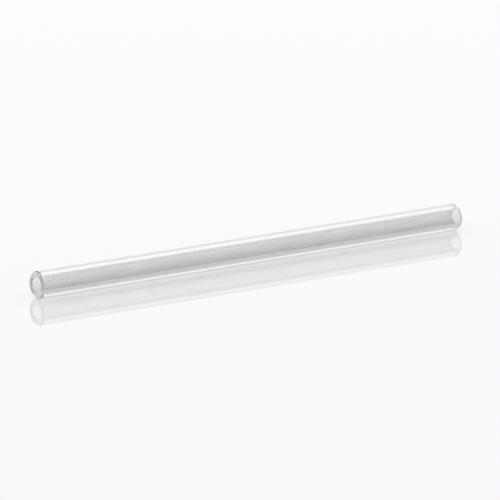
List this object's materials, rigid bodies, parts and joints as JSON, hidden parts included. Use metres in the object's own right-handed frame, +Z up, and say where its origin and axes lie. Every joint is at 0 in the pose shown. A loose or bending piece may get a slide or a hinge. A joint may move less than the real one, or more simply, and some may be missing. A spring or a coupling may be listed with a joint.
{
  "type": "glass capillary tube",
  "caption": "Short straight glass tube with a fine open bore and softly rounded ends, which draws in and holds a small measured sample of liquid by capillary action.",
  "frame": {"origin": "the point midway along the tube, on the surface that it lies on, straight under its axis", "axes": "+X runs along the tube's axis, +Z is up and +Y is across the tube"},
  "size_m": [0.032, 0.0016, 0.0017],
  "materials": {
    "clear_glass": "clear drawn glass with fire-polished ends"
  },
  "bodies": {
    "root": {"capillary_tube": "clear_glass"}
  },
  "joints": []
}
